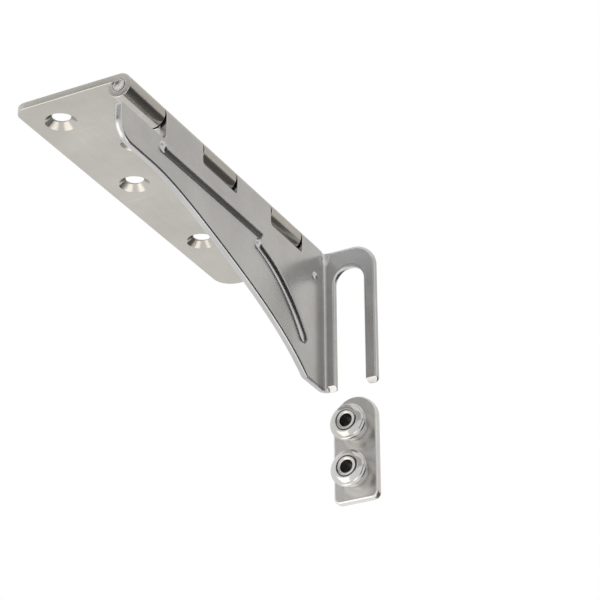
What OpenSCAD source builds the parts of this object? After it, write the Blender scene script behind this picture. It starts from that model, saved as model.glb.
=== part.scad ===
/* [Sheet and hinge pin] */
// Thickness of the pressed sheet of the table plate and the support arm
sheet_t = 2.5; // [1.8:0.1:3]
// Diameter of the hinge pin
pin_d = 3.5; // [2.6:0.1:5]
// Radial clearance of the pin in its eyes
pin_play = 0.05; // [0.03:0.01:0.1]
// Width of the swaged end of the pin
pin_head_d = 4.3; // [3.8:0.1:4.6]
// Rise of the swaged end of the pin above the eye
pin_head_rise = 0.25; // [0.1:0.05:0.5]

/* [Table plate] */
// Length of the table plate, from the wall to its outer end
plate_l = 136; // [134:0.5:150]
// Width of the table plate, from its free edge to the hinge line
plate_w = 40; // [36:0.5:60]
// Corner radius at the outer end
plate_outer_r = 4.5; // [1:0.5:7]
// Corner radius at the wall end
plate_wall_r = 7; // [1:0.5:9]

/* [Table screws] */
// Distance between neighbouring screws of one row
screw_pitch = 45; // [38:0.5:48]
// Distance between the outer and the inner row of screws
screw_rows = 14.5; // [13:0.5:20]
// From the last outer screw to the outer end of the plate
end_margin = 12.5; // [9:0.5:14]
// From the outer row to the free edge of the plate
row_margin = 10.5; // [8:0.5:12]
// Diameter of a screw hole
screw_d = 6; // [4:0.5:7]
// Diameter of a screw hole's countersink at the underside
sink_d = 11; // [8:0.1:12]
// Depth of a screw hole's countersink
sink_depth = 2; // [0.8:0.1:2.2]

/* [Knuckles] */
// Distance between the knuckles of one leaf
knuckle_pitch = 46; // [44:0.5:50]
// Length of a knuckle of the table plate
plate_knuckle_l = 21.2; // [18:0.2:24]
// Gap between neighbouring knuckles
knuckle_gap = 0.8; // [0.3:0.1:1.2]
// Clearance of each leaf round the other leaf's knuckles
leaf_clear = 0.8; // [0.4:0.1:2]
// Width of the seam that a rolled eye leaves open
seam_w = 0.25; // [0.1:0.05:0.4]

/* [Support arm] */
// Depth of the arm below the hinge line at the wall
arm_depth = 52.4; // [50:0.2:60]
// Depth of the arm below the hinge line at its outer end
nose_depth = 21.7; // [19.5:0.1:26]
// Length of the nose beyond the outer end of the table plate
nose_out = 5.2; // [0:0.2:8]
// Depth of the open cut-out under the outermost knuckle
cutout_depth = 9.6; // [7:0.1:10.5]
// Depth of a knuckle window below the eye
window_clear = 1.6; // [0.8:0.1:3]
// Lower corner radius of the nose
nose_r = 6.8; // [3:0.1:7.5]
// Upper corner radius of the nose
nose_top_r = 1.5; // [0.5:0.1:2.5]
// Fillet at the inner corner of the cut-out
cutout_r = 2.5; // [0.5:0.1:3]
// Corner radius of the knuckle windows
window_r = 1.2; // [0.4:0.1:1.5]
// Length of the straight lower edge behind the nose
nose_straight = 18.4; // [10:0.2:26]
// Length of the level foot at the wall
foot_l = 13; // [11.6:0.2:20]

/* [Stiffening beads] */
// Width of a pressed bead
bead_w = 4.7; // [3:0.1:4.8]
// Height of a pressed bead
bead_h = 1.5; // [0.8:0.1:2]
// Depth of the straight bead below the hinge line
bead_z = 13; // [12:0.1:14]
// Outer end of the straight bead, from the flange
bead_outer_x = 109.7; // [95:0.1:112]
// Inner end of the straight bead, from the flange
bead_inner_x = 47.5; // [45:0.1:52]
// Bend radius of the curved bead
bead_bend_r = 56; // [50:1:70]
// Upper end of the curved bead, from the flange
bead_top_x = 47.4; // [44:0.1:48]
// Depth of the curved bead's upper end below the hinge line
bead_top_z = 18; // [17.9:0.1:19]
// Angle of the curved bead's upper end round its centre
bead_from = 103.5; // [100:0.5:108]
// Angle of the curved bead's lower end round its centre
bead_to = 142.5; // [125:0.5:143.5]
// Diameter of the locating pip
pip_d = 3.2; // [2:0.1:4]
// Height of the locating pip
pip_h = 1.1; // [0.5:0.1:1.2]
// Distance of the pip from the flange
pip_x = 7; // [5.6:0.1:9]
// Depth of the pip below the hinge line
pip_z = 10.8; // [9:0.1:14]

/* [Hook flange] */
// Inner radius of the bend between web and flange
bend_r = 1; // [0.5:0.1:1.8]
// Reach of the flange from the face of the web
flange_w = 19.7; // [18.5:0.1:21]
// Rise of the flange above the hinge line
flange_rise = 1.5; // [0:0.1:2]
// Radius of the upper corner of the flange
flange_r = 8.5; // [4:0.1:9.5]
// Width of the hook slot
slot_w = 11.3; // [11:0.1:12.6]
// Distance of the slot's centre line from the face of the web
slot_off = 9.55; // [9.3:0.05:10.2]
// Depth of the slot's crown below the hinge line
slot_top = 6.1; // [5.6:0.1:9]
// Corner radius at the foot of the free leg
leg_r = 1.7; // [0.5:0.1:2]
// Lead-in chamfer at the front of both feet
lead_in = 1.6; // [0.5:0.1:2]
// Radius of the blend between the last eye and the flange
blend_r = 2.8; // [1:0.1:3]

/* [Wall plate and buttons] */
// Width of the wall plate
wall_w = 16.5; // [15:0.5:19]
// Height of the wall plate
wall_h = 38.5; // [38:0.5:48]
// Thickness of the wall plate
wall_t = 3; // [2:0.1:4]
// Lower corner radius of the wall plate
wall_r = 2.4; // [1:0.1:5]
// From the top of the wall plate to the upper button
button_top = 11.5; // [11:0.5:14]
// Distance between the two buttons
button_pitch = 17; // [16:0.5:20]
// Diameter of a button's neck
neck_d = 10.2; // [9.6:0.1:10.9]
// Diameter of a button's rim
rim_d = 13.2; // [13.2:0.1:14.4]
// Thickness of the rim's edge
rim_edge = 0.7; // [0.3:0.1:1.5]
// Height of the whole button above the wall plate
button_h = 7.2; // [6.8:0.1:9]
// Diameter of the flat ring at the front of a button
ring_d = 7.2; // [6.6:0.1:9]
// Diameter of the screw hole through a button
wall_screw_d = 4.6; // [4:0.1:5.6]
// Diameter of the spigot that is swaged into the wall plate
spigot_d = 7.6; // [7:0.1:8.4]
// Gap between the seated flange and the wall plate
seat_gap = 0.3; // [0.2:0.1:0.6]
// Gap between the seated flange and the rims
front_gap = 0.5; // [0.3:0.1:1]
// Gap between the feet of the arm and the wall plate that stands below them
wall_gap = 2.85; // [1:0.05:10]

/* [Hidden] */

$fn = 96;
cut = 1;
knuckles = 3;

// How far the slit of a seam is cut past the ends of its eye
seam_run = knuckle_gap / 2;

// Clearance round the swaged end of the pin
pin_head_play = 0.1;

bore_r = pin_d / 2 + pin_play;
eye_r = bore_r + sheet_t;

// The origin is the centre of the staggered screw pattern, in the face that bears on the table
outer_row_y = -screw_rows / 2;
inner_row_y = screw_rows / 2;
free_edge_y = outer_row_y - row_margin;
outer_x = screw_pitch + end_margin;
wall_x = outer_x - plate_l;
hinge_y = free_edge_y + plate_w;
hinge_z = -eye_r;

// Front face of the hook flange, from which the arm is set out
flange_x = wall_x + wall_t + seat_gap + sheet_t;
arm_l = outer_x - flange_x;
nose_x = arm_l + nose_out;
belly_from = nose_x - nose_straight;

// Control points of the lower edge of the web, as shares of its length and its drop
belly = [[0, 0], [0.22, 0], [0.41, 0.32], [0.76, 0.41], [1, 1]];
belly_steps = 30;

// A bead is a segment of a rod that lies below the face, with its own rise and width
bead_r = (pow(bead_w / 2, 2) + pow(bead_h, 2)) / (2 * bead_h);
bead_sink = bead_r - bead_h;
bead_wall = 0.8;
hollow_r = bead_w / 2 - bead_wall;
hollow_sink = bead_wall / 3;
pip_r = (pow(pip_d / 2, 2) + pow(pip_h, 2)) / (2 * pip_h);

swage_h = 0.8;
spigot_fit = 0.02;
neck_h = seat_gap + sheet_t + front_gap;
rim_h = neck_h + (rim_d - neck_d) / 2;
slot_y = eye_r + slot_off;
slot_crown_z = -slot_top - slot_w / 2;
upper_button_z = -arm_depth - wall_gap - button_top;

// A point on a curve of any number of control points, at the share t of its way
function on_curve(points, t) = len(points) == 1 ? points[0]
    : on_curve([for (i = [0 : len(points) - 2]) points[i] * (1 - t) + points[i + 1] * t], t);

// Outer end of each eye of the table plate, counted from the outer end
function knuckle_x(i) = arm_l - i * knuckle_pitch;

// Outer and inner end of each eye of the arm
function arm_eye_outer(i) = knuckle_x(i) - plate_knuckle_l - knuckle_gap;
function arm_eye_inner(i) = i < knuckles - 1 ? knuckle_x(i + 1) + knuckle_gap : 0;

// Draws a profile across the hinge and runs it along the hinge
module along_x(length) {
    rotate([90, 0, 90]) linear_extrude(length) children();
}

// Draws a profile of the web, seen from its outer face, and gives it the sheet's thickness
module across_web() {
    translate([0, eye_r, 0]) rotate([90, 0, 0]) linear_extrude(sheet_t) children();
}

// What is taken off a right-angled corner at the origin to round it
module corner(r) {
    difference() {
        translate([-cut, -cut]) square(r + cut);
        translate([r, r]) circle(r);
    }
}

// What is added inside a right-angled corner at the origin to fill it
module fillet(r) {
    difference() {
        square(r);
        translate([r, r]) circle(r);
    }
}

// A stack of bores along the hinge line
module hinge_bore(from_x, length) {
    translate([from_x, 0, 0]) rotate([0, 90, 0]) cylinder(r = bore_r, h = length);
}

// The slit that a rolled eye leaves where the sheet comes round to itself
module seam(length) {
    along_x(length) rotate(180 - asin(bore_r / eye_r)) translate([0, -seam_w])
        square([eye_r + cut, seam_w]);
}

// Flat blank of the table plate, with tabs for its knuckles
module plate_blank() {
    back_y = hinge_y - eye_r - leaf_clear;
    difference() {
        union() {
            translate([wall_x, free_edge_y]) square([plate_l, back_y - free_edge_y]);
            for (i = [0 : knuckles - 1])
                translate([flange_x + knuckle_x(i) - plate_knuckle_l, back_y - cut])
                    square([plate_knuckle_l, hinge_y - back_y + cut]);
        }
        translate([wall_x, free_edge_y]) corner(plate_wall_r);
        translate([outer_x, free_edge_y]) mirror([1, 0]) corner(plate_outer_r);
    }
}

// A screw hole, countersunk from below
module table_screw_hole() {
    translate([0, 0, -sheet_t - cut]) cylinder(d = screw_d, h = sheet_t + 2 * cut);
    translate([0, 0, -sheet_t]) cylinder(d1 = sink_d, d2 = screw_d, h = sink_depth);
    translate([0, 0, -sheet_t - cut]) cylinder(d = sink_d, h = cut);
}

module table_screw_holes() {
    for (i = [-1 : 1]) translate([i * screw_pitch, outer_row_y, 0]) table_screw_hole();
    for (i = [-1, 1]) translate([i * screw_pitch / 2, inner_row_y, 0]) table_screw_hole();
}

module table_plate() {
    mouth = pin_head_d / 2 + pin_head_play - bore_r;
    color("gainsboro") difference() {
        union() {
            translate([0, 0, -sheet_t]) linear_extrude(sheet_t) plate_blank();
            translate([flange_x, hinge_y, hinge_z])
                for (i = [0 : knuckles - 1])
                    translate([knuckle_x(i) - plate_knuckle_l, 0, 0])
                        along_x(plate_knuckle_l) circle(eye_r);
        }
        table_screw_holes();
        translate([flange_x, hinge_y, hinge_z]) {
            hinge_bore(-cut, arm_l + 2 * cut);
            for (i = [0 : knuckles - 1])
                translate([knuckle_x(i) - plate_knuckle_l - seam_run, 0, 0])
                    seam(plate_knuckle_l + 2 * seam_run);
            translate([arm_l - mouth, 0, 0]) rotate([0, 90, 0])
                cylinder(r1 = bore_r, r2 = bore_r + mouth + seam_run, h = mouth + seam_run);
        }
    }
}

module hinge_pin() {
    swage = (pin_head_d - pin_d) / 2;
    shy = 0.5;
    color("silver") translate([flange_x, hinge_y, hinge_z]) rotate([0, 90, 0]) rotate_extrude()
        polygon([
            [0, shy],
            [pin_d / 2 - shy, shy],
            [pin_d / 2, 2 * shy],
            [pin_d / 2, arm_l - swage],
            [pin_head_d / 2, arm_l],
            [pin_head_d / 2 - pin_head_rise, arm_l + pin_head_rise],
            [0, arm_l + pin_head_rise]
        ]);
}

// Lower edge of the web, from behind the nose to the foot
function belly_point(t) = let (p = on_curve(belly, t)) [
    belly_from - p[0] * (belly_from - foot_l),
    -nose_depth - p[1] * (arm_depth - nose_depth)
];

// Outline of the web, with the open cut-out and the windows for the plate's knuckles
module web_blank() {
    open_x = arm_eye_outer(0);
    window_w = plate_knuckle_l + 2 * knuckle_gap;
    window_z = -eye_r - window_clear;
    difference() {
        polygon([
            [bend_r, 0],
            [open_x, 0],
            [open_x, -cutout_depth],
            [nose_x, -cutout_depth],
            [nose_x, -nose_depth],
            for (i = [0 : belly_steps]) belly_point(i / belly_steps),
            [bend_r, -arm_depth]
        ]);
        translate([nose_x, -nose_depth]) mirror([1, 0]) corner(nose_r);
        translate([nose_x, -cutout_depth]) rotate(180) corner(nose_top_r);
        for (i = [1 : knuckles - 1])
            translate([arm_eye_outer(i), window_z]) difference() {
                square([window_w, cut - window_z]);
                fillet(window_r);
                translate([window_w, 0]) mirror([1, 0]) fillet(window_r);
            }
    }
    translate([open_x, -cutout_depth]) fillet(cutout_r);
}

// Rolled eyes of the arm, between and behind the plate's knuckles
module arm_eyes() {
    for (i = [0 : knuckles - 1])
        translate([arm_eye_inner(i), 0, 0]) along_x(arm_eye_outer(i) - arm_eye_inner(i))
            circle(eye_r);
}

// The straight bead and the curved one, each as a rod with round ends
module bead_rods(r) {
    translate([bead_inner_x, 0, -bead_z]) rotate([0, 90, 0])
        cylinder(r = r, h = bead_outer_x - bead_inner_x);
    for (x = [bead_inner_x, bead_outer_x]) translate([x, 0, -bead_z]) rotate([0, 90, 0]) sphere(r);
    translate([
        bead_top_x - bead_bend_r * cos(bead_from),
        0,
        -bead_top_z - bead_bend_r * sin(bead_from)
    ]) rotate([90, 0, 0]) {
        rotate(bead_from) rotate_extrude(angle = bead_to - bead_from)
            translate([bead_bend_r, 0]) circle(r);
        for (a = [bead_from, bead_to])
            rotate(a) translate([bead_bend_r, 0, 0]) rotate([90, 0, 0]) sphere(r);
    }
}

// The two beads and the pip, as far as they stand out of the web
module pressed_relief() {
    intersection() {
        union() {
            translate([0, eye_r - bead_sink, 0]) bead_rods(bead_r);
            translate([pip_x, eye_r + pip_h - pip_r, -pip_z]) sphere(pip_r);
        }
        translate([0, eye_r - sheet_t / 4, -arm_depth])
            cube([arm_l, bead_h + pip_h + sheet_t, arm_depth]);
    }
}

// Flange outline, seen from the front, from the bend to its free edge
module flange_blank() {
    base_y = eye_r + bend_r;
    edge_y = eye_r + flange_w;
    difference() {
        translate([base_y, -arm_depth]) square([edge_y - base_y, arm_depth + flange_rise]);
        translate([edge_y, flange_rise]) rotate(180) corner(flange_r);
        translate([slot_y, slot_crown_z]) circle(d = slot_w);
        translate([slot_y - slot_w / 2, -arm_depth - cut])
            square([slot_w, arm_depth + cut + slot_crown_z]);
        translate([edge_y, -arm_depth]) mirror([1, 0]) corner(leg_r);
        translate([slot_y + slot_w / 2, -arm_depth]) corner(leg_r);
    }
}

// The bend that turns the web into the flange
module flange_bend() {
    translate([bend_r, eye_r + bend_r, -arm_depth]) rotate([0, 0, 180]) rotate_extrude(angle = 90)
        translate([bend_r, 0]) square([sheet_t, arm_depth + flange_rise]);
}

// The blend that ties the last eye to the front of the flange
module eye_blend() {
    reach = eye_r + blend_r;
    intersection() {
        rotate([0, 90, 0]) rotate_extrude() difference() {
            translate([eye_r - sheet_t / 2, -sheet_t / 2])
                square([blend_r + sheet_t / 2, blend_r + sheet_t / 2]);
            translate([reach, blend_r]) circle(blend_r);
        }
        translate([-sheet_t, eye_r - sheet_t / 2, -reach])
            cube([2 * reach, reach, reach + flange_rise]);
    }
}

module support_arm() {
    color("darkgray") translate([flange_x, hinge_y, hinge_z]) difference() {
        union() {
            across_web() web_blank();
            arm_eyes();
            pressed_relief();
            flange_bend();
            translate([-sheet_t, 0, 0]) along_x(sheet_t) flange_blank();
            eye_blend();
        }
        hinge_bore(-sheet_t - cut, arm_l + sheet_t + 2 * cut);
        for (i = [0 : knuckles - 1])
            translate([arm_eye_inner(i) - seam_run, 0, 0]) mirror([0, 1, -1])
                seam(arm_eye_outer(i) - arm_eye_inner(i) + 2 * seam_run);
        translate([0, eye_r - sheet_t - hollow_sink, 0]) bead_rods(hollow_r);
        translate([0, eye_r + bend_r, -arm_depth]) rotate([0, 45, 0])
            translate([-lead_in * sin(45), 0, -lead_in])
                cube([sheet_t + lead_in, flange_w, 2 * lead_in]);
    }
}

// Everything on the wall is set out from the upper button
module at_wall() {
    translate([flange_x - sheet_t - seat_gap, hinge_y + slot_y, hinge_z + upper_button_z]) children();
}

module wall_outline() {
    top_r = wall_w / 2;
    difference() {
        union() {
            translate([0, button_top - top_r]) circle(top_r);
            translate([-top_r, button_top - wall_h]) square([wall_w, wall_h - top_r]);
        }
        translate([-top_r, button_top - wall_h]) corner(wall_r);
        translate([top_r, button_top - wall_h]) mirror([1, 0]) corner(wall_r);
    }
}

module wall_plate() {
    color("whitesmoke") at_wall() difference() {
        translate([-wall_t, 0, 0]) along_x(wall_t) wall_outline();
        for (z = [0, -button_pitch]) translate([0, 0, z]) rotate([0, 90, 0]) {
            translate([0, 0, -wall_t - cut]) cylinder(d = spigot_d, h = wall_t + 2 * cut);
            translate([0, 0, -wall_t]) cylinder(d1 = spigot_d + 2 * swage_h, d2 = spigot_d, h = swage_h);
        }
    }
}

// Half section of a button, from the swaged spigot to the ring at its front
module button_section() {
    bore = wall_screw_d / 2;
    spigot = spigot_d / 2 - spigot_fit;
    ring = ring_d / 2;
    rim = rim_d / 2;
    dome_base = rim_h + rim_edge;
    dome_step = rim_edge / 2;
    polygon([
        [bore, -wall_t],
        [spigot + swage_h, -wall_t],
        [spigot, swage_h - wall_t],
        [spigot, 0],
        [neck_d / 2, 0],
        [neck_d / 2, neck_h],
        [rim, rim_h],
        [rim, dome_base],
        for (a = [0 : 15 : 90])
            [ring + (rim - dome_step - ring) * cos(a), dome_base + (button_h - dome_base) * sin(a)],
        [bore, button_h]
    ]);
}

module button() {
    rotate([0, 90, 0]) rotate_extrude() button_section();
}

module upper_button() {
    color("silver") at_wall() button();
}

module lower_button() {
    color("silver") at_wall() translate([0, 0, -button_pitch]) button();
}

table_plate();
hinge_pin();
support_arm();
wall_plate();
upper_button();
lower_button();
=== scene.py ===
import math
import bmesh
import bpy
from mathutils import Matrix, Vector


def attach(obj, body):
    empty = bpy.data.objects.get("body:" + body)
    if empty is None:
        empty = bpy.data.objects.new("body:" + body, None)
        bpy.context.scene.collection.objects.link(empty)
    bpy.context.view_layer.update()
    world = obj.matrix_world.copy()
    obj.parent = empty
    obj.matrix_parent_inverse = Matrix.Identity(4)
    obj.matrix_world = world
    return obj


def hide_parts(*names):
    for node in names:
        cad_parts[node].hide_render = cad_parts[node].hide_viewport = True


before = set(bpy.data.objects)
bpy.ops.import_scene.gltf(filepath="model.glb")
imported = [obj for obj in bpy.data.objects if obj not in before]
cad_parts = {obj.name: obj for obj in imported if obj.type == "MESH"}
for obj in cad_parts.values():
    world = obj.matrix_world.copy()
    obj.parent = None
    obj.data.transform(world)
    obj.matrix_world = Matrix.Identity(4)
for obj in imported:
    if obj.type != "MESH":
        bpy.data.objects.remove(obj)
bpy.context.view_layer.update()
print("frame loaded:", sorted(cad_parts))

# The bracket is laid out in millimetres from the hinge line: x out from the hook
# flange's face, y towards the free leg of the hook, z up
hinge = {"x": -72.7, "y": 22.25, "z": -4.3, "eyeR": 4.3, "boreR": 1.8, "sheet": 2.5, "rollSteps": 36}

xAxis, yAxis, zAxis = (1, 0, 0), (0, 1, 0), (0, 0, 1)
near = 0.01  # a point this close to a line counts as on it
onAxis = 0.001  # and this close to the axis of a spun shape
spunJoin = 0.002  # points of a spun shape this close are joined
capJoin = 0.001  # and those of a bead's first end
squareOn = 0.9  # a normal with more than this along an axis faces that way
past = 1  # a cutter reaches this far past the face that it cuts


def metres(mm):
    return mm / 1000


# A point of the layout in Blender's metres, and the way back
def place(x, y, z):
    return Vector([metres(value + hinge[axis]) for value, axis in zip((x, y, z), "xyz")])


def local(point):
    return Vector([value * 1000 - hinge[axis] for value, axis in zip(point, "xyz")])


def faceMiddle(face):
    return local(face.calc_center_median())


def deselectAll():
    if bpy.context.object and bpy.context.object.mode != "OBJECT":
        bpy.ops.object.mode_set(mode="OBJECT")
    bpy.ops.object.select_all(action="DESELECT")


def makeActive(obj):
    deselectAll()
    bpy.context.view_layer.objects.active = obj
    obj.select_set(True)


def editMesh(obj):
    makeActive(obj)
    bpy.ops.object.mode_set(mode="EDIT")
    bpy.ops.mesh.select_all(action="DESELECT")


# Selects the faces or edges of the open mesh that pass a test
def pick(obj, kind, test):
    bpy.ops.mesh.select_all(action="DESELECT")
    bpy.ops.mesh.select_mode(type={"faces": "FACE", "edges": "EDGE"}[kind])
    mesh = bmesh.from_edit_mesh(obj.data)
    for item in getattr(mesh, kind):
        if test(item):
            item.select_set(True)
    mesh.select_flush_mode()
    bmesh.update_edit_mesh(obj.data)


# A ring of vertices moved onto an outline, with or without a face across it
def outline(name, points, filled=True):
    deselectAll()
    bpy.ops.mesh.primitive_circle_add(vertices=len(points), radius=0.01,
                                      fill_type="NGON" if filled else "NOTHING")
    obj = bpy.context.object
    obj.name = name
    for vert, point in zip(obj.data.vertices, points):
        vert.co = place(*point)
    return obj


def applyAll(obj):
    makeActive(obj)
    for modifier in list(obj.modifiers):
        bpy.ops.object.modifier_apply(modifier=modifier.name)


def tidyMesh(obj, distance=near):
    editMesh(obj)
    bpy.ops.mesh.select_all(action="SELECT")
    bpy.ops.mesh.remove_doubles(threshold=metres(distance))
    bpy.ops.mesh.normals_make_consistent(inside=False)
    bpy.ops.object.mode_set(mode="OBJECT")


# Gives a filled outline its thickness
def thicken(obj, x, y, z):
    editMesh(obj)
    bpy.ops.mesh.select_all(action="SELECT")
    bpy.ops.mesh.extrude_region_move(TRANSFORM_OT_translate={"value": (metres(x), metres(y), metres(z))})
    bpy.ops.object.mode_set(mode="OBJECT")
    tidyMesh(obj)


def cutWith(obj, cutter, operation="DIFFERENCE"):
    modifier = obj.modifiers.new("Cut", "BOOLEAN")
    modifier.operation = operation
    modifier.solver = "EXACT"
    modifier.object = cutter
    applyAll(obj)
    bpy.data.objects.remove(cutter)


# Rounds each edge that turns by more than an angle, apart from those that are kept
def softenEdges(obj, width, angle=32, isKept=lambda edge: False, clamped=True):
    turn = math.radians(angle)
    editMesh(obj)
    pick(obj, "edges", lambda e: len(e.link_faces) == 2 and e.calc_face_angle() > turn and not isKept(e))
    bpy.ops.transform.edge_bevelweight(value=1)
    bpy.ops.object.mode_set(mode="OBJECT")
    modifier = obj.modifiers.new("Rounded", "BEVEL")
    modifier.width = metres(width)
    modifier.segments = 3
    modifier.limit_method = "WEIGHT"
    modifier.use_clamp_overlap = clamped
    modifier.miter_outer = "MITER_ARC"
    applyAll(obj)


def smoothShade(obj, angle=34):
    makeActive(obj)
    bpy.ops.object.shade_smooth_by_angle(angle=math.radians(angle))
    modifier = obj.modifiers.new("Weighted", "WEIGHTED_NORMAL")
    modifier.keep_sharp = True
    modifier.weight = 60
    applyAll(obj)


def joinAll(name, parts):
    deselectAll()
    for part in parts:
        part.select_set(True)
    bpy.context.view_layer.objects.active = parts[0]
    bpy.ops.object.join()
    parts[0].name = name
    return parts[0]


# Points of a round corner, from one direction to another
def arc(x, y, r, a0, a1, steps):
    angles = [math.radians(a0 + (a1 - a0) * i / steps) for i in range(steps + 1)]
    return [(x + r * math.cos(a), y + r * math.sin(a)) for a in angles]


# Points given as (along, out) steps from one point
def stepsFrom(x, r, steps):
    return [(x + along, r + out) for along, out in steps]


# Spins what is selected round an axis
def spin(steps, turn, centre, axis):
    bpy.ops.mesh.spin(steps=steps, angle=math.radians(turn), center=centre, axis=axis)
    bpy.ops.object.mode_set(mode="OBJECT")


def spinAll(steps, turn, centre, axis):
    bpy.ops.mesh.select_all(action="SELECT")
    spin(steps, turn, centre, axis)


# Takes away the edge of an outline that lies on the axis it will turn round
def openAtAxis(obj, offset):
    editMesh(obj)
    pick(obj, "edges", lambda e: all(abs(offset(local(v.co))) < onAxis for v in e.verts))
    bpy.ops.mesh.delete(type="EDGE")


# A closed outline of (x, radius) points spun into a ring round an axis along x
def spunRing(name, profile, y, z, steps):
    obj = outline(name, [(x, y, z + r) for x, r in profile], filled=False)
    editMesh(obj)
    spinAll(steps, 360, place(0, y, z), xAxis)
    tidyMesh(obj, spunJoin)
    return obj


# A solid of (x, radius) points that start and end on an axis along x
def spunSolid(name, profile, y, z, steps=48):
    obj = outline(name, [(x, y, z + r) for x, r in profile], filled=False)
    openAtAxis(obj, lambda p: p.z - z)
    spinAll(steps, 360, place(0, y, z), xAxis)
    tidyMesh(obj, spunJoin)
    return obj


# A solid of (z, radius) points that start and end on an upright axis
def spunPlug(name, profile, x, y, steps=48):
    obj = outline(name, [(x + r, y, z) for z, r in profile], filled=False)
    openAtAxis(obj, lambda p: p.x - x)
    spinAll(steps, 360, place(x, y, 0), zAxis)
    tidyMesh(obj, spunJoin)
    return obj


# Rolls each picked tab face round the hinge line
def rollEyes(obj, test, turn):
    editMesh(obj)
    pick(obj, "faces", test)
    spin(hinge["rollSteps"], turn, place(0, 0, 0), xAxis)


sleeve = {"shy": 0.04, "edge": 0.64, "edgeSteps": 4, "steps": 60}


# Closes a rolled eye: a sleeve a hair inside it, from one end to the other
def eyeSleeve(x0, x1):
    shy, edge, steps = sleeve["shy"], sleeve["edge"], sleeve["edgeSteps"]
    bore, outer = hinge["boreR"] + shy, hinge["eyeR"] - shy
    left, right = x0 + shy, x1 - shy
    profile = arc(right - edge, bore + edge, edge, -90, 0, steps)
    profile += arc(right - edge, outer - edge, edge, 0, 90, steps)
    profile += arc(left + edge, outer - edge, edge, 90, 180, steps)
    profile += arc(left + edge, bore + edge, edge, 180, 270, steps)
    return spunRing("eyeSleeve", profile, 0, 0, sleeve["steps"])


tablePlate = {
    "wallX": -5.8, "outerX": 130.2, "freeY": -40.0, "notchY": -5.1,
    "eyes": [(109.0, 130.2), (63.0, 84.2), (17.0, 38.2)], "roll": 290,
    "outerR": 4.5, "wallR": 7.0, "cornerSteps": 12, "edge": 0.6,
    "holes": [(27.7, -29.5), (72.7, -29.5), (117.7, -29.5), (50.2, -15.0), (95.2, -15.0)],
    "holeR": 3.0, "sinkR": 5.5, "sinkDepth": 2.0, "holeJoin": 0.15,
    "mouthR": 2.3, "mouthDepth": 0.7, "mouthFlare": 0.1,
}


def makeTablePlate():
    size = tablePlate
    wallX, outerX, freeY, notchY = (size[key] for key in ("wallX", "outerX", "freeY", "notchY"))
    top = hinge["eyeR"]
    bottom = top - hinge["sheet"]
    deselectAll()
    bpy.ops.mesh.primitive_cube_add(
        size=1, location=place((wallX + outerX) / 2, (freeY + notchY) / 2, (top + bottom) / 2),
        scale=(metres(outerX - wallX), metres(notchY - freeY), metres(hinge["sheet"])))
    obj = bpy.context.object
    obj.name = "tablePlateSheet"
    bpy.ops.object.transform_apply(location=True, rotation=True, scale=True)
    editMesh(obj)
    for x in sorted({x for eye in size["eyes"] for x in eye if x < outerX}):
        bpy.ops.mesh.select_all(action="SELECT")
        bpy.ops.mesh.bisect(plane_co=place(x, 0, 0), plane_no=xAxis)

    def isTab(face, y):
        middle = faceMiddle(face)
        isEye = any(a < middle.x < b for a, b in size["eyes"])
        return isEye and face.normal.y > squareOn and abs(middle.y - y) < near

    def isCorner(edge, x):
        points = [local(v.co) for v in edge.verts]
        return all(abs(p.x - x) < near and abs(p.y - freeY) < near for p in points)

    pick(obj, "faces", lambda f: isTab(f, notchY))
    bpy.ops.mesh.extrude_region_move(TRANSFORM_OT_translate={"value": (0, -metres(notchY), 0)})
    bpy.ops.object.mode_set(mode="OBJECT")
    rollEyes(obj, lambda f: isTab(f, 0), size["roll"])
    editMesh(obj)
    for x, r in ((outerX, size["outerR"]), (wallX, size["wallR"])):
        pick(obj, "edges", lambda e: isCorner(e, x))
        bpy.ops.mesh.bevel(offset=metres(r), segments=size["cornerSteps"], affect="EDGES")
    bpy.ops.object.mode_set(mode="OBJECT")
    tidyMesh(obj)

    # Countersunk screw holes, open wide at the underside
    slope = (size["sinkR"] - size["holeR"]) / size["sinkDepth"]
    profile = [(bottom - past, 0), (bottom - past, size["sinkR"] + slope * past),
               (bottom + size["sinkDepth"], size["holeR"]), (top + past, size["holeR"]), (top + past, 0)]
    cutWith(obj, joinAll("holes", [spunPlug("hole", profile, x, y) for x, y in size["holes"]]))
    tidyMesh(obj, size["holeJoin"])
    softenEdges(obj, size["edge"])
    for x0, x1 in size["eyes"]:
        cutWith(obj, eyeSleeve(x0, x1), "UNION")

    # The pin's end is swaged into this mouth
    mouthX = outerX - size["mouthDepth"]
    mouth = [(mouthX, 0), (mouthX, size["mouthR"]),
             (outerX + past, size["mouthR"] + size["mouthFlare"]), (outerX + past, 0)]
    cutWith(obj, spunSolid("mouth", mouth, 0, 0))
    smoothShade(obj)
    return obj


supportArm = {
    "eyes": [(85.0, 108.2), (39.0, 62.2), (2.2, 16.2)], "roll": -290,
    "edge": 0.7, "edgeAngle": 60, "rim": 0.85,
    "endX": 135.4, "cutoutX": 108.2, "cutoutZ": -9.6, "cutoutR": 2.5, "windowZ": -5.9, "windowR": 1.3,
    "noseZ": -21.7, "noseR": 6.8, "noseTopR": 1.5, "bellyFrom": 117.0, "footX": 13.0, "footZ": -52.4,
    "belly": [(0, 0), (0.22, 0), (0.41, 0.32), (0.76, 0.41), (1, 1)],
    "bendR": 1.0, "flangeTopZ": 1.5, "flangeR": 8.5, "freeY": 24.0, "legR": 1.7,
    "slotY": 13.85, "slotR": 5.65, "slotZ": -11.75, "leadIn": 1.6, "cutter": 6, "cutterRun": 4,
    "blendFootZ": -5,
    "steps": {"belly": 30, "slot": 20, "leg": 5, "flange": 14, "window": 5, "cutout": 6,
              "noseTop": 6, "nose": 12, "bend": 8},
}


# A point of the web's curved lower edge, as shares of its length and of its drop
def bellyCurve(t):
    points = supportArm["belly"]
    while len(points) > 1:
        points = [(a[0] + (b[0] - a[0]) * t, a[1] + (b[1] - a[1]) * t) for a, b in zip(points, points[1:])]
    return points[0]


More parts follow.
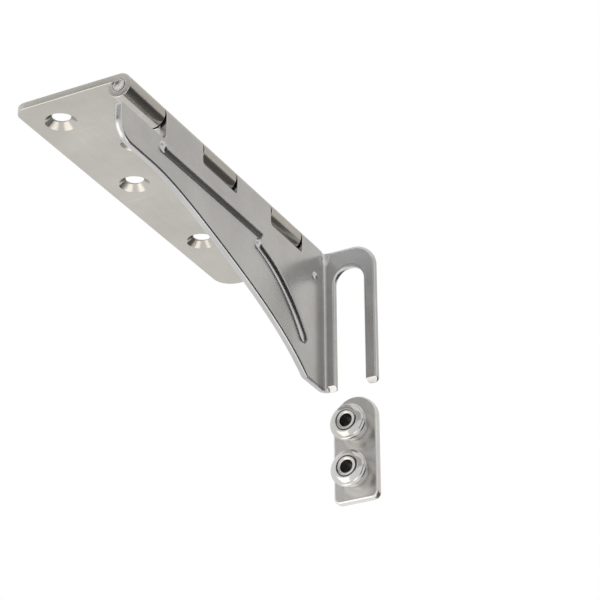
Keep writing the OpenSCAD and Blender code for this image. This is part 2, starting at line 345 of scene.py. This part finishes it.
# Length of sheet that the bend takes, along its middle
def bendRun():
    return (supportArm["bendR"] + hinge["sheet"] / 2) * math.pi / 2


# The flat blank of the arm, with the flange still straight
def armBlank():
    size, steps, eyes = supportArm, supportArm["steps"], supportArm["eyes"]
    foot, slotY, slotR, legR = size["footZ"], size["slotY"], size["slotR"], size["legR"]
    freeY, flangeR, windowR = size["freeY"], size["flangeR"], size["windowR"]
    flat = size["bendR"] - bendRun()

    def onFlange(points):
        return [(flat - (y - hinge["eyeR"] - size["bendR"]), z) for y, z in points]

    blank = []
    for i in range(steps["belly"] + 1):
        share, drop = bellyCurve(i / steps["belly"])
        blank.append((size["bellyFrom"] - share * (size["bellyFrom"] - size["footX"]),
                      size["noseZ"] - drop * (size["noseZ"] - foot)))
    blank += onFlange([(slotY - slotR, foot)])
    blank += onFlange(arc(slotY, size["slotZ"], slotR, 180, 0, steps["slot"]))
    blank += onFlange(arc(slotY + slotR + legR, foot + legR, legR, 180, 270, steps["leg"]))
    blank += onFlange(arc(freeY - legR, foot + legR, legR, 270, 360, steps["leg"]))
    blank += onFlange(arc(freeY - flangeR, size["flangeTopZ"] - flangeR, flangeR, 0, 90, steps["flange"]))
    blank += [(size["bendR"], size["flangeTopZ"]), (eyes[2][0], 0), (eyes[2][1], 0)]

    # A window between two eyes clears the plate's eye there
    windowY = size["windowZ"] + windowR
    for left, eye in ((eyes[2][1], eyes[1]), (eyes[1][1], eyes[0])):
        blank += arc(left + windowR, windowY, windowR, 180, 270, steps["window"])
        blank += arc(eye[0] - windowR, windowY, windowR, 270, 360, steps["window"])
        blank += [(x, 0) for x in eye]
    cutoutR, noseTopR, noseR = size["cutoutR"], size["noseTopR"], size["noseR"]
    cutoutX, cutoutZ, endX = size["cutoutX"], size["cutoutZ"], size["endX"]
    blank += arc(cutoutX + cutoutR, cutoutZ + cutoutR, cutoutR, 180, 270, steps["cutout"])
    blank += arc(endX - noseTopR, cutoutZ - noseTopR, noseTopR, 90, 0, steps["noseTop"])
    blank += arc(endX - noseR, size["noseZ"] + noseR, noseR, 0, -90, steps["nose"])
    return blank


# Turns the flange square to the web, round the bend's inner radius
def foldFlange(obj):
    bendR, run = supportArm["bendR"], bendRun()
    for vert in obj.data.vertices:
        p = local(vert.co)
        s = bendR - p.x
        if s <= 0:
            continue
        radius = hinge["eyeR"] + bendR - p.y
        bent = min(s / run, 1) * math.pi / 2
        straight = max(s - run, 0)
        vert.co = place(bendR - radius * math.sin(bent),
                        hinge["eyeR"] + bendR - radius * math.cos(bent) + straight, p.z)


# Chamfers the front edge at the foot of the hook's legs
def cutLeadIn(obj):
    cutter, run = supportArm["cutter"], supportArm["cutterRun"]
    away = (cutter / 2 - supportArm["leadIn"] * math.sqrt(0.5)) / math.sqrt(2)
    legsY = hinge["eyeR"] + supportArm["bendR"]
    deselectAll()
    bpy.ops.mesh.primitive_cube_add(
        size=metres(cutter), location=place(away, legsY + cutter * run / 2, supportArm["footZ"] - away),
        rotation=(0, math.radians(45), 0), scale=(1, run, 1))
    wedge = bpy.context.object
    bpy.ops.object.transform_apply(location=True, rotation=True, scale=True)
    cutWith(obj, wedge)


def makeSupportArm():
    size = supportArm
    inner, outer = hinge["eyeR"] - hinge["sheet"], hinge["eyeR"]
    eyeX, bendSteps = size["eyes"][2][0], size["steps"]["bend"]
    obj = outline("supportArmSheet", [(x, inner, z) for x, z in armBlank()])
    thicken(obj, 0, hinge["sheet"], 0)

    def isByEyes(vert):
        p = local(vert.co)
        return p.z > size["cutoutZ"] - near and p.x > size["bendR"] + near

    def isUnderBlend(vert):
        p = local(vert.co)
        return size["bendR"] - near < p.x < eyeX + near and p.z > size["blendFootZ"]

    # The outline below the hinge and round the flange is tumbled rounder than the eyes
    softenEdges(obj, size["rim"], isKept=lambda e: any(isByEyes(v) for v in e.verts), clamped=False)
    rollEyes(obj, lambda f: f.normal.z > squareOn and abs(faceMiddle(f).z) < near, size["roll"])
    tidyMesh(obj)
    editMesh(obj)
    for i in range(bendSteps + 1):
        bpy.ops.mesh.select_all(action="SELECT")
        bpy.ops.mesh.bisect(plane_co=place(size["bendR"] - bendRun() * i / bendSteps, 0, 0), plane_no=xAxis)
    bpy.ops.object.mode_set(mode="OBJECT")
    foldFlange(obj)
    softenEdges(obj, size["edge"], size["edgeAngle"], lambda e: all(isUnderBlend(v) for v in e.verts))
    cutLeadIn(obj)
    for path in beads["paths"]:
        crest = crestChain(beads["width"] / 2, beads["height"], beads["foot"])
        cutWith(obj, sweptBead("groove", grooveChain(), path, inner, -1))
        cutWith(obj, sweptBead("bead", crest, path, outer, 1), "UNION")
    cutWith(obj, makePip(), "UNION")
    for x0, x1 in size["eyes"]:
        cutWith(obj, eyeSleeve(0 if x0 == eyeX else x0, x1), "UNION")
    cutWith(obj, eyeBlend(), "UNION")
    smoothShade(obj)
    return obj


# The two stiffening beads: each path is a start, a heading, and a straight run or a turn round a centre
beads = {
    "width": 4.7, "height": 1.5, "foot": 0.6, "rooted": 0.5, "grooveR": 1.55, "grooveOut": 0.27,
    "paths": [{"start": (47.5, -13.0), "heading": 0, "run": 62.2},
              {"start": (47.4, -18.0), "heading": 193.5, "turn": 39.0, "radius": 56.0}],
    "steps": {"crest": 9, "foot": 5, "groove": 14, "end": 16, "turn": 28},
}
pip = {"x": 7.0, "z": -10.8, "r": 1.6, "height": 1.1, "foot": 0.35, "steps": 32}


# Half the section of a raised form, from its crest down to its foot and in below the face
def crestChain(half, height, foot):
    crestR = (half ** 2 + height ** 2) / (2 * height)
    sunk = crestR - height
    footX = math.sqrt((crestR + foot) ** 2 - (foot + sunk) ** 2)
    meet = math.degrees(math.atan2(foot + sunk, footX))
    chain = [(0, height)] + arc(0, -sunk, crestR, 90, meet, beads["steps"]["crest"])[1:]
    chain += arc(footX, foot, foot, 180 + meet, 270, beads["steps"]["foot"])[1:]
    return chain + [(footX, -beads["rooted"]), (0, -beads["rooted"])]


# Half the section of the round groove behind a bead
def grooveChain():
    r, out = beads["grooveR"], beads["grooveOut"]
    side = arc(0, 0, r, 90, -90, beads["steps"]["groove"])[1:-1]
    return [(0, r - out)] + [(x, y - out) for x, y in side] + [(0, -r - out)]


# The point a distance away from (x, z) along a heading
def ahead(x, z, heading, distance):
    a = math.radians(heading)
    return x + distance * math.cos(a), z + distance * math.sin(a)


# A chain of (sideways, outwards) points set up across a path in the plane of the web
def acrossPath(name, chain, at, heading, faceY, outwards):
    side = math.radians(heading + 90)
    obj = outline(name, [(at[0] + d * math.cos(side), faceY + outwards * h, at[1] + d * math.sin(side))
                         for d, h in chain], filled=False)
    openAtAxis(obj, lambda p: math.hypot(p.x - at[0], p.z - at[1]))
    return obj


# Half a dome at the end of a path, spun from one side of it to the other
def beadEnd(name, chain, at, heading, faceY, outwards):
    obj = acrossPath(name, chain, at, heading, faceY, outwards)
    spinAll(beads["steps"]["end"], 180, place(at[0], faceY, at[1]), yAxis)
    return obj


# A bead: half a dome, its open edge drawn along the path, and half a dome to end it
def sweptBead(name, chain, path, faceY, outwards):
    x, z = path["start"]
    heading = path["heading"]
    body = beadEnd(name, chain, (x, z), heading, faceY, outwards)
    tidyMesh(body, capJoin)
    editMesh(body)
    pick(body, "edges", lambda e: len(e.link_faces) == 1)
    if "run" in path:
        end = ahead(x, z, heading, path["run"])
        shift = place(end[0], 0, end[1]) - place(x, 0, z)
        bpy.ops.mesh.extrude_region_move(TRANSFORM_OT_translate={"value": tuple(shift)})
        bpy.ops.object.mode_set(mode="OBJECT")
    else:
        centre = ahead(x, z, heading + 90, path["radius"])
        heading += path["turn"]
        end = ahead(*centre, heading + 90, -path["radius"])
        spin(beads["steps"]["turn"], path["turn"], place(centre[0], faceY, centre[1]), yAxis)
    last = beadEnd(name + "End", chain, end, heading + 180, faceY, outwards)
    bead = joinAll(name, [body, last])
    tidyMesh(bead, spunJoin)
    return bead


def makePip():
    faceY = hinge["eyeR"]
    chain = crestChain(pip["r"], pip["height"], pip["foot"])
    obj = acrossPath("pip", chain, (pip["x"], pip["z"]), 0, faceY, 1)
    spinAll(pip["steps"], 360, place(pip["x"], faceY, pip["z"]), yAxis)
    tidyMesh(obj, spunJoin)
    return obj


blend = {"r": 2.8, "backX": -1.2, "buried": 1.1, "lip": 0.02, "from": 180.5, "to": 269.5, "arcSteps": 10,
         "start": 9, "turn": 67, "steps": 18}


# The soft corner between the innermost eye and the front of the flange
def eyeBlend():
    outer, r, backX = hinge["eyeR"], blend["r"], blend["backX"]
    inside = outer - blend["buried"]
    profile = [(backX, inside), (backX, outer + r - blend["lip"])]
    profile += arc(r, outer + r, r, blend["from"], blend["to"], blend["arcSteps"]) + [(r, inside)]
    a = math.radians(blend["start"])
    obj = outline("eyeBlend", [(x, out * math.cos(a), out * math.sin(a)) for x, out in profile])
    editMesh(obj)
    spinAll(blend["steps"], blend["turn"], place(0, 0, 0), xAxis)
    tidyMesh(obj, spunJoin)
    return obj


# Tip, neck, head and crown are (along, out) steps from the rod's or the head's edge
hingePin = {
    "r": 1.75, "innerX": 0.5, "outerX": 130.2, "headR": 2.08, "rise": 0.25, "dish": 0.1,
    "tip": [(0, -0.5), (0.2, -0.15), (0.5, 0)], "neck": [(-0.65, 0), (-0.4, 0.14)],
    "head": [(-0.25, -0.06), (-0.1, 0)], "rimR": 0.2, "rimSteps": 4,
    "crown": [(0, -0.5), (-0.05, -0.95)], "shade": 50,
}


def makeHingePin():
    size = hingePin
    r, headR, rimR, x0, x1 = size["r"], size["headR"], size["rimR"], size["innerX"], size["outerX"]
    top = x1 + size["rise"]
    profile = [(x0, 0)] + stepsFrom(x0, r, size["tip"])
    profile += stepsFrom(x1, r, size["neck"]) + stepsFrom(x1, headR, size["head"])
    profile += arc(top - rimR, headR - rimR, rimR, 60, 0, size["rimSteps"])
    profile += stepsFrom(top, headR, size["crown"]) + [(top - size["dish"], 0)]
    obj = spunSolid("hingePinRod", profile, 0, 0)
    smoothShade(obj, size["shade"])
    return obj


wallPlate = {
    "backX": -5.8, "frontX": -2.8, "y": 13.85, "topZ": -55.25, "width": 16.5, "height": 38.5,
    "cornerR": 2.4, "edge": 0.65, "buttons": [-66.75, -83.75], "holeR": 3.8, "mouth": 0.8,
    "topSteps": 40, "cornerSteps": 8,
}


def makeWallPlate():
    size = wallPlate
    topR, r, steps, holeR = size["width"] / 2, size["cornerR"], size["cornerSteps"], size["holeR"]
    backX, frontX, y = size["backX"], size["frontX"], size["y"]
    left, right, foot = y - topR, y + topR, size["topZ"] - size["height"]
    edge = arc(y, size["topZ"] - topR, topR, 0, 180, size["topSteps"])
    edge += arc(left + r, foot + r, r, 180, 270, steps)
    edge += arc(right - r, foot + r, r, 270, 360, steps)
    obj = outline("wallPlateSheet", [(backX, across, z) for across, z in edge])
    thicken(obj, frontX - backX, 0, 0)
    softenEdges(obj, size["edge"])

    # Each spigot is swaged into the wide mouth of its hole at the back
    for z in size["buttons"]:
        hole = [(backX - past, 0), (backX - past, holeR + size["mouth"] + past),
                (backX + size["mouth"], holeR), (frontX + past, holeR), (frontX + past, 0)]
        cutWith(obj, spunSolid("hole", hole, y, z))
    smoothShade(obj)
    return obj


button = {
    "boreR": 2.3, "neckR": 5.1, "neckH": 3.3, "rimR": 6.6, "rimEdge": 0.7, "height": 7.2, "ringR": 3.6,
    "spigotR": 3.78, "swage": 0.8, "plate": 3.0, "backEdge": 0.25, "swageEdge": 0.15, "faceGap": 0.05,
    "footEdge": 0.15, "rimBackR": 0.3, "rimBackIn": 0.1, "rimFrontR": 0.4, "rimFrontIn": 0.2,
    "ledge": 0.45, "domeFrom": 12, "domeStep": 6, "ringEdge": 0.25, "dish": 0.12, "dishIn": 0.5,
    "mouthR": 0.4, "mouthIn": 0.55, "backSteps": 4, "frontSteps": 5, "steps": 64, "shade": 40,
}


def makeButton(name, z):
    size = button
    bore, rim, ring, neckR, height = (size[key] for key in ("boreR", "rimR", "ringR", "neckR", "height"))
    spigotR, swage, frontSteps = size["spigotR"], size["swage"], size["frontSteps"]
    rimX = size["neckH"] + rim - neckR
    shoulderX = rimX + size["rimEdge"]
    back = -size["plate"]
    profile = [(back, bore + size["backEdge"]), (back, spigotR + swage - size["swageEdge"]),
               (back + swage, spigotR), (-size["faceGap"], spigotR),
               (0, neckR - size["footEdge"]), (size["footEdge"], neckR), (size["neckH"], neckR)]
    backR, frontR, mouthR = size["rimBackR"], size["rimFrontR"], size["mouthR"]
    profile += arc(rimX + size["rimBackIn"], rim - backR, backR, 135, 90, size["backSteps"])
    profile += arc(shoulderX - size["rimFrontIn"], rim - frontR, frontR, 90, 20, frontSteps)
    domeR = rim - size["ledge"] - ring
    for degrees in range(size["domeFrom"], 91, size["domeStep"]):
        a = math.radians(degrees)
        profile += [(shoulderX + (height - shoulderX) * math.sin(a), ring + domeR * math.cos(a))]
    profile += [(height, ring - size["ringEdge"]), (height - size["dish"], bore + size["dishIn"])]
    profile += arc(height - size["mouthIn"], bore + mouthR, mouthR, 0, -90, frontSteps)
    profile += [(back + size["backEdge"], bore)]
    face = wallPlate["frontX"]
    obj = spunRing(name, [(face + x, r) for x, r in profile], wallPlate["y"], z, size["steps"])
    smoothShade(obj, size["shade"])
    return obj


plate = makeTablePlate()
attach(plate, "table_plate")
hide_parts("table_plate")
print("table plate made")

arm = makeSupportArm()
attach(arm, "support_arm")
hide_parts("support_arm")
print("support arm made")

pin = makeHingePin()
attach(pin, "table_plate")
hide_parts("hinge_pin")
print("hinge pin made")

wall = makeWallPlate()
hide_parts("wall_plate")
upper, lower = (makeButton(name, z) for name, z in zip(("upperButton", "lowerButton"),
                                                       wallPlate["buttons"]))
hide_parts("upper_button")
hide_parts("lower_button")
for obj in (wall, upper, lower):
    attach(obj, "wall_plate")
print("wall plate and buttons made")


# Adds a node, sets or links its inputs and gives back one of its outputs
def addNode(tree, kind, inputs, output, **settings):
    node = tree.nodes.new(kind)
    for key, value in settings.items():
        setattr(node, key, value)
    for key, value in inputs.items():
        if isinstance(value, bpy.types.NodeSocket):
            tree.links.new(value, node.inputs[key])
        else:
            node.inputs[key].default_value = value
    return node.outputs[output]


def noise(tree, vector, scale, detail, rough):
    inputs = {"Vector": vector, "Scale": scale, "Detail": detail, "Roughness": rough}
    return addNode(tree, "ShaderNodeTexNoise", inputs, "Fac")


def span(tree, value, low, high, outLow=0, outHigh=1):
    inputs = {"Value": value, "From Min": low, "From Max": high, "To Min": outLow, "To Max": outHigh}
    return addNode(tree, "ShaderNodeMapRange", inputs, "Result")


def combine(tree, operation, a, b):
    return addNode(tree, "ShaderNodeMath", {0: a, 1: b}, 0, operation=operation)


def combineVectors(tree, operation, a, b, output):
    return addNode(tree, "ShaderNodeVectorMath", {0: a, 1: b}, output, operation=operation)


# The sum of values, each times its share
def weigh(tree, *parts):
    scaled = [combine(tree, "MULTIPLY", value, share) for value, share in parts]
    total = scaled[0]
    for part in scaled[1:]:
        total = combine(tree, "ADD", total, part)
    return total


def mixTones(tree, factor, a, b, blendType="MIX"):
    return addNode(tree, "ShaderNodeMix", {"Factor": factor, "A": a, "B": b}, "Result",
                   data_type="RGBA", blend_type=blendType)


# Noises are scale, detail and roughness. Cuts are the span of a noise that is stretched to 0 to 1,
# and the new span where two more numbers follow
surfaceLook = {
    "grain": (900, 4, 0.62), "cloud": (42, 5, 0.55), "speckle": (1500, 2, 0.5),
    "scratch": (620, 2, 0.4), "scratchTurn": (0.5, 0.9, 0.35), "scratchStretch": (1, 0.045, 1),
    "scratchCut": (0.66, 0.71), "patch": (75, 2, 0.5), "patchCut": (0.45, 0.62),
    "wornCut": (0.985, 0.9), "wornPatchCut": (0.35, 0.6, 0.35, 1), "wornTone": (0.78, 0.775, 0.76, 1),
    # Besides the worn shine, the next line sets the painted shade in corners: how far occlusion reaches and
    # how dark it paints
    "wornShine": 0.12, "cornerShadeReach": 0.0035, "cornerShadeCut": (0.25, 0.85, 0.72, 1),
    "cloudShare": 0.8, "grainShare": 0.2, "speckleShare": 0.06, "toneCut": (0.32, 0.68),
    "scratchDepth": -1.5, "speckleDepth": 0.5, "bump": 0.00003,
}


# Shared by every steel: cloudy tone, brushed grain, stray scratches, rubbed edges and painted shade in the
# corners
def steelSurface():
    look = surfaceLook
    tree = bpy.data.node_groups.new("steel surface", "ShaderNodeTree")
    for name, kind in (("Grain Stretch", "Vector"), ("Light Tone", "Color"), ("Dark Tone", "Color"),
                       ("Smoothest", "Float"), ("Roughest", "Float"), ("Grain Depth", "Float"),
                       ("Scratches", "Float"), ("Edge Width", "Float")):
        tree.interface.new_socket(name, in_out="INPUT", socket_type="NodeSocket" + kind)
    for name, kind in (("Color", "Color"), ("Roughness", "Float"), ("Normal", "Vector")):
        tree.interface.new_socket(name, in_out="OUTPUT", socket_type="NodeSocket" + kind)
    given = tree.nodes.new("NodeGroupInput").outputs
    result = tree.nodes.new("NodeGroupOutput").inputs
    where = tree.nodes.new("ShaderNodeTexCoord").outputs["Object"]

    stretched = combineVectors(tree, "MULTIPLY", where, given["Grain Stretch"], 0)
    grain = noise(tree, stretched, *look["grain"])
    cloud = noise(tree, where, *look["cloud"])
    speckle = noise(tree, where, *look["speckle"])
    drawn = addNode(tree, "ShaderNodeMapping", {"Vector": where, "Rotation": look["scratchTurn"],
                                                "Scale": look["scratchStretch"]}, 0)
    scratch = span(tree, noise(tree, drawn, *look["scratch"]), *look["scratchCut"])
    patchy = span(tree, noise(tree, where, *look["patch"]), *look["patchCut"])
    scratch = combine(tree, "MULTIPLY", combine(tree, "MULTIPLY", scratch, patchy), given["Scratches"])

    # Edges show where the bevelled normal leaves the true one, and painted shade darkens the corners that
    # ambient occlusion finds
    rounded = addNode(tree, "ShaderNodeBevel", {"Radius": given["Edge Width"]}, "Normal", samples=6)
    actual = addNode(tree, "ShaderNodeNewGeometry", {}, "Normal")
    facing = combineVectors(tree, "DOT_PRODUCT", rounded, actual, "Value")
    worn = combine(tree, "MULTIPLY", span(tree, facing, *look["wornCut"]),
                   span(tree, cloud, *look["wornPatchCut"]))
    # Painted shade: ambient occlusion darkens the steel's colour in corners, gaps and hollows
    free = addNode(tree, "ShaderNodeAmbientOcclusion", {"Distance": look["cornerShadeReach"]}, "AO", samples=8)
    paintedCornerShade = span(tree, free, *look["cornerShadeCut"])

    flecks = combine(tree, "SUBTRACT", speckle, 0.5)
    tone = weigh(tree, (cloud, look["cloudShare"]), (grain, look["grainShare"]),
                 (flecks, look["speckleShare"]))
    steel = mixTones(tree, span(tree, tone, *look["toneCut"]), given["Dark Tone"], given["Light Tone"])
    bare = combine(tree, "MINIMUM", combine(tree, "ADD", worn, scratch), 1)
    rubbed = mixTones(tree, bare, steel, look["wornTone"])
    tree.links.new(mixTones(tree, 1, rubbed, paintedCornerShade, "MULTIPLY"), result["Color"])

    finish = weigh(tree, (cloud, 0.5), (grain, 0.5))
    rough = addNode(tree, "ShaderNodeMix", {"Factor": finish, "A": given["Smoothest"],
                                            "B": given["Roughest"]}, "Result")
    shine = combine(tree, "MULTIPLY", worn, look["wornShine"])
    tree.links.new(combine(tree, "SUBTRACT", rough, shine), result["Roughness"])
    height = weigh(tree, (grain, 1), (scratch, look["scratchDepth"]), (speckle, look["speckleDepth"]))
    bump = addNode(tree, "ShaderNodeBump", {"Strength": given["Grain Depth"], "Distance": look["bump"],
                                            "Height": height}, "Normal")
    tree.links.new(bump, result["Normal"])
    return tree


surface = steelSurface()
steels = {
    "plateSteel": {"stretch": (0.08, 1, 1), "light": (0.56, 0.535, 0.5), "dark": (0.46, 0.44, 0.405),
                   "rough": (0.15, 0.27), "depth": 0.3, "scratches": 0.12, "edge": 0.0006},
    "armSteel": {"stretch": (0.08, 1, 1), "light": (0.61, 0.61, 0.61), "dark": (0.5, 0.5, 0.5),
                 "rough": (0.19, 0.3), "depth": 0.3, "scratches": 0.18, "edge": 0.0006},
    "pinSteel": {"stretch": (1, 1, 1), "light": (0.68, 0.67, 0.65), "dark": (0.58, 0.57, 0.55),
                 "rough": (0.16, 0.26), "depth": 0.2, "scratches": 0.3, "edge": 0.0003},
    "wallSteel": {"stretch": (1, 1, 0.08), "light": (0.8, 0.79, 0.775), "dark": (0.68, 0.67, 0.655),
                  "rough": (0.24, 0.38), "depth": 0.35, "scratches": 0.3, "edge": 0.0006},
    "buttonSteel": {"stretch": (1, 1, 1), "light": (0.62, 0.615, 0.6), "dark": (0.52, 0.515, 0.5),
                    "rough": (0.1, 0.17), "depth": 0.08, "scratches": 0.2, "edge": 0.0004},
    # The screw hole's wall: a rougher drilled finish, and a dark tone that is painted shade
    "boreSteelPaintedShade": {"stretch": (1, 1, 1), "light": (0.2, 0.19, 0.175), "dark": (0.1, 0.095, 0.085),
                  "rough": (0.4, 0.55), "depth": 0.3, "scratches": 0.1, "edge": 0.0003},
}


def makeSteel(name):
    look = steels[name]
    material = bpy.data.materials.new(name)
    material.use_nodes = True
    nodes, links = material.node_tree.nodes, material.node_tree.links
    shader = nodes["Principled BSDF"]
    shader.inputs["Metallic"].default_value = 1
    shade = nodes.new("ShaderNodeGroup")
    shade.node_tree = surface
    for key, value in (("Grain Stretch", look["stretch"]), ("Light Tone", (*look["light"], 1)),
                       ("Dark Tone", (*look["dark"], 1)), ("Smoothest", look["rough"][0]),
                       ("Roughest", look["rough"][1]), ("Grain Depth", look["depth"]),
                       ("Scratches", look["scratches"]), ("Edge Width", look["edge"])):
        shade.inputs[key].default_value = value
    for output, key in (("Color", "Base Color"), ("Roughness", "Roughness"), ("Normal", "Normal")):
        links.new(shade.outputs[output], shader.inputs[key])
    return material


for obj, name in ((plate, "plateSteel"), (arm, "armSteel"), (pin, "pinSteel"), (wall, "wallSteel"),
                  (upper, "buttonSteel"), (lower, "buttonSteel")):
    obj.data.materials.clear()
    obj.data.materials.append(bpy.data.materials.get(name) or makeSteel(name))

# The wall of a button's screw hole gets a rougher finish and a dark tone, which is painted shade in the
# hole
bore = makeSteel("boreSteelPaintedShade")
boreReach = button["boreR"] + 0.02
for obj, z in zip((upper, lower), wallPlate["buttons"]):
    obj.data.materials.append(bore)
    editMesh(obj)
    pick(obj, "faces", lambda f: math.hypot(faceMiddle(f).y - wallPlate["y"],
                                            faceMiddle(f).z - z) < boreReach)
    obj.active_material_index = 1
    bpy.ops.object.material_slot_assign()
    bpy.ops.object.mode_set(mode="OBJECT")
print("materials made")

white, black = (1, 1, 1, 1), (0, 0, 0, 1)
studioFloor = {"size": 12, "z": -0.62, "tone": (0.8, 0.8, 0.79, 1), "rough": 0.9, "glow": 0.5}
worldLevel = 0.7  # the world's strength for diffuse light, where the camera and mirrors see 1


# Floor well below the bracket, which hangs as it does under its table
def makeFloor():
    deselectAll()
    bpy.ops.mesh.primitive_plane_add(size=studioFloor["size"], location=(0, 0, studioFloor["z"]))
    floor = bpy.context.object
    floor.name = "floor"
    paper = bpy.data.materials.new("pale floor")
    paper.use_nodes = True
    tree = paper.node_tree
    shader = tree.nodes["Principled BSDF"]
    shader.inputs["Base Color"].default_value = studioFloor["tone"]
    shader.inputs["Roughness"].default_value = studioFloor["rough"]
    rays = tree.nodes.new("ShaderNodeLightPath").outputs
    mirrored = combine(tree, "MAXIMUM", rays["Is Glossy Ray"], rays["Is Transmission Ray"])
    direct = combine(tree, "MULTIPLY", rays["Is Camera Ray"], studioFloor["glow"])
    share = combine(tree, "MAXIMUM", mirrored, direct)
    glow = addNode(tree, "ShaderNodeEmission", {"Color": white, "Strength": 1}, 0)
    either = addNode(tree, "ShaderNodeMixShader", {"Fac": share, 1: shader.outputs[0], 2: glow}, 0)
    tree.links.new(either, tree.nodes["Material Output"].inputs["Surface"])
    floor.data.materials.append(paper)


def makeWorld():
    world = bpy.data.worlds.new("studio")
    bpy.context.scene.world = world
    world.use_nodes = True
    tree = world.node_tree
    background = tree.nodes["Background"]
    background.inputs["Color"].default_value = white
    rays = tree.nodes.new("ShaderNodeLightPath").outputs
    seen = combine(tree, "MAXIMUM", rays["Is Camera Ray"], rays["Is Glossy Ray"])
    seen = combine(tree, "MAXIMUM", seen, rays["Is Transmission Ray"])
    tree.links.new(span(tree, seen, 0, 1, worldLevel, 1), background.inputs["Strength"])


# Cards round the bracket that its steel mirrors: azimuth, elevation, distance, width, height, grey
studioCards = {
    "low dark card": (149, -20, 0.75, 0.66, 0.7, 0.12),
    "high grey card": (150, 38, 0.75, 0.9, 0.7, 0.7),
    "middle grey card": (157, 15, 0.72, 0.5, 0.32, 0.78),
    "side dark card": (111, -14, 0.72, 0.56, 0.72, 0.03),
    "right grey card": (34, 27, 0.75, 0.9, 0.55, 0.6),
    "front dark card": (-19, 21.5, 1.5, 0.62, 0.5, 0.04),
    "low bright card": (-35, -22, 0.75, 0.5, 0.55, 1.9),
    "floor bright card": (-42, -54, 0.6, 0.4, 0.28, 1.9),
    "edge bright card": (112, -66, 0.6, 0.34, 0.24, 1.9),
}
cardTint = (1, 0.97, 0.92)


def makeCard(name, azimuth, elevation, distance, width, height, grey):
    a, e = math.radians(azimuth), math.radians(elevation)
    facing = Vector((math.cos(a) * math.cos(e), math.sin(a) * math.cos(e), math.sin(e)))
    deselectAll()
    bpy.ops.mesh.primitive_plane_add(size=1, location=facing * distance,
                                     rotation=facing.to_track_quat("Z", "Y").to_euler())
    card = bpy.context.object
    card.name = name
    card.scale = (width, height, 1)
    bpy.ops.object.transform_apply(location=False, rotation=False, scale=True)
    card.visible_camera = False
    card.visible_shadow = False
    card.visible_diffuse = False
    felt = bpy.data.materials.new(name)
    felt.use_nodes = True
    inputs = felt.node_tree.nodes["Principled BSDF"].inputs
    inputs["Base Color"].default_value = black
    inputs["Specular IOR Level"].default_value = 0
    inputs["Emission Color"].default_value = (*(grey * tint for tint in cardTint), 1)
    inputs["Emission Strength"].default_value = 1
    card.data.materials.append(felt)


makeFloor()
makeWorld()
for name, sizes in studioCards.items():
    makeCard(name, *sizes)
print("studio made")

# Camera as fitted to the photograph: its focal length in pixels of a picture 600 wide, its place
# in the layout and its three directions
cameraFit = {"focal": 2364.79, "picture": 600, "at": (654.271, 339.228, -398.523),
             "right": (-0.46833, 0.88354, -0.00512), "down": (-0.40500, -0.21981, -0.88750),
             "ahead": (-0.78527, -0.41357, 0.46077), "sensor": 36, "clip": (0.01, 50)}
cameraData = bpy.data.cameras.new("camera")
camera = bpy.data.objects.new("camera", cameraData)
bpy.context.scene.collection.objects.link(camera)
right, down, forward = (Vector(cameraFit[key]) for key in ("right", "down", "ahead"))
turn = Matrix((right, -down, -forward)).transposed().to_4x4()
camera.matrix_world = Matrix.Translation(place(*cameraFit["at"])) @ turn
cameraData.sensor_width = cameraFit["sensor"]
cameraData.lens = cameraFit["focal"] / cameraFit["picture"] * cameraFit["sensor"]
cameraData.clip_start, cameraData.clip_end = cameraFit["clip"]
bpy.context.scene.camera = camera
bpy.context.scene.view_settings.view_transform = "Standard"
